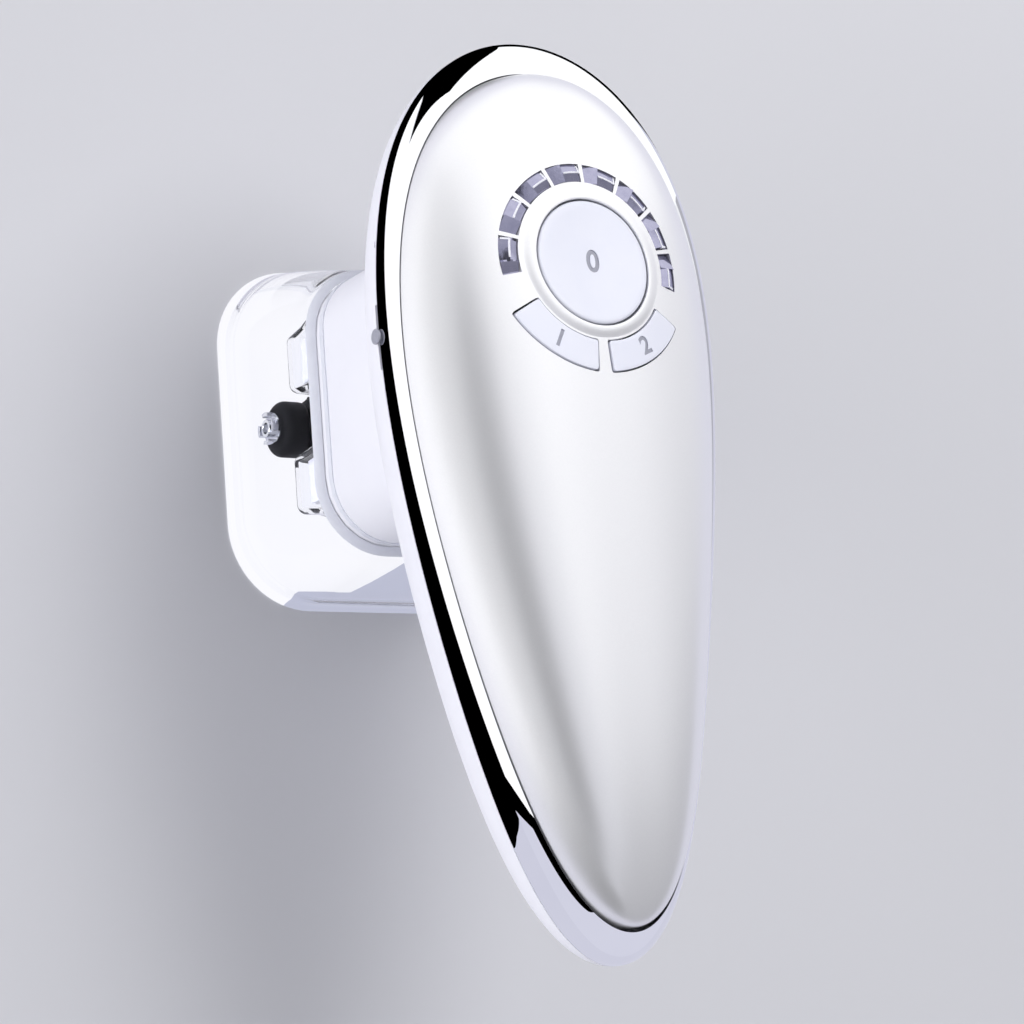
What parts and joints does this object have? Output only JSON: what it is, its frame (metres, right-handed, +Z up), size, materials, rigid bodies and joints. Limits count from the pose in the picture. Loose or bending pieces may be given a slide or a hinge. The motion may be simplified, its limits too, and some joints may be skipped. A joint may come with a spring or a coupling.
{
  "type": "electric cupping massager",
  "caption": "Hand-held electric cupping massager: egg-shaped handle with a round release button, a square pump neck and a clear suction cup that holds a roller and two light windows.",
  "frame": {"origin": "on the plane of the cup's rim, on which the massager rests, under the middle of the handle's length and width", "axes": "+Z up out of the button face, +Y along the handle towards its wide end, above the cup, +X to the right when the buttons are seen with the wide end up"},
  "size_m": [0.0897, 0.211, 0.104],
  "materials": {
    "pearl_white_plastic": "satin pearl lacquer",
    "mirror_trim": "mirror plating on moulded plastic",
    "white_plastic": "satin moulded plastic",
    "clear_plastic": "clear moulded plastic",
    "smoky_clear_plastic": "tinted clear plastic",
    "pale_blue_plastic": "glossy moulded plastic",
    "grey_plastic": "fine moulded grain",
    "inner_plastic": "plain moulded plastic",
    "black_rubber": "satin moulded rubber",
    "seal_rubber": "moulded silicone rubber",
    "plated_caps": "bright plating",
    "steel": "plain steel",
    "board": "green circuit laminate",
    "white_board": "white circuit laminate",
    "cell_wrap": "shrunk plastic sleeve",
    "black_plastic": "plain moulded plastic",
    "filter_felt": "pressed felt",
    "lamp": "small light-emitting blocks"
  },
  "bodies": {
    "housing": {"front_cover": "pearl_white_plastic", "trim_ring": "mirror_trim", "rear_casing": "white_plastic", "neck_housing": "white_plastic", "head_plate": "white_plastic", "suction_cup": "clear_plastic", "cup_seal": "seal_rubber", "light_window_upper": "clear_plastic", "light_window_lower": "clear_plastic", "reflector_upper": "white_plastic", "reflector_lower": "white_plastic", "light_board_upper": "white_board", "light_board_lower": "white_board", "roller_hangers": "white_plastic", "release_spring": "steel", "stem_guide": "inner_plastic", "valve_seat": "seal_rubber", "vacuum_manifold": "inner_plastic", "moisture_filter": "filter_felt", "vacuum_tube": "seal_rubber", "pump_motor": "steel", "pump_head": "black_plastic", "pump_bracket": "inner_plastic", "chassis": "inner_plastic", "main_circuit_board": "board", "key_switches": "black_plastic", "level_lights": "lamp", "level_windows": "smoky_clear_plastic", "battery_cell": "cell_wrap", "battery_cradle": "inner_plastic", "charging_port": "steel", "charge_board": "board", "slide_switch": "black_plastic", "casing_screws": "steel", "head_screws": "steel"},
    "release_plunger": {"release_button": "pale_blue_plastic", "release_stem": "steel"},
    "left_key": {"mode_key_left": "pale_blue_plastic"},
    "right_key": {"mode_key_right": "pale_blue_plastic"},
    "power_slider": {"slide_knob": "grey_plastic"},
    "roller": {"roller_axle": "steel", "roller_sleeves": "black_plastic", "roller_rubber": "black_rubber", "roller_end_caps": "plated_caps"},
    "crank": {"pump_crank": "steel"}
  },
  "joints": [
    {"name": "release_press", "type": "slide", "parent": "housing", "child": "release_plunger", "axis": [0, 0, -1], "range_m": [0, 0.0015], "stiffness_N_per_m": 900, "springref_m": -0.001, "deforming": ["release_spring"]},
    {"name": "left_key_press", "type": "slide", "parent": "housing", "child": "left_key", "axis": [0, 0, -1], "range_m": [0, 0.0006], "stiffness_N_per_m": 1500, "springref_m": -0.0004},
    {"name": "right_key_press", "type": "slide", "parent": "housing", "child": "right_key", "axis": [0, 0, -1], "range_m": [0, 0.0006], "stiffness_N_per_m": 1500, "springref_m": -0.0004},
    {"name": "power_slide", "type": "slide", "parent": "housing", "child": "power_slider", "axis": [0, 1, 0], "range_m": [-0.006, 0.006]},
    {"name": "roller_spin", "type": "hinge", "parent": "housing", "child": "roller", "pos_m": [0, 0.0297, 0.0102], "axis": [1, 0, 0], "continuous": true},
    {"name": "crank_spin", "type": "hinge", "parent": "housing", "child": "crank", "pos_m": [0.0045, 0.0177, 0.049], "axis": [1, 0, 0], "continuous": true}
  ]
}
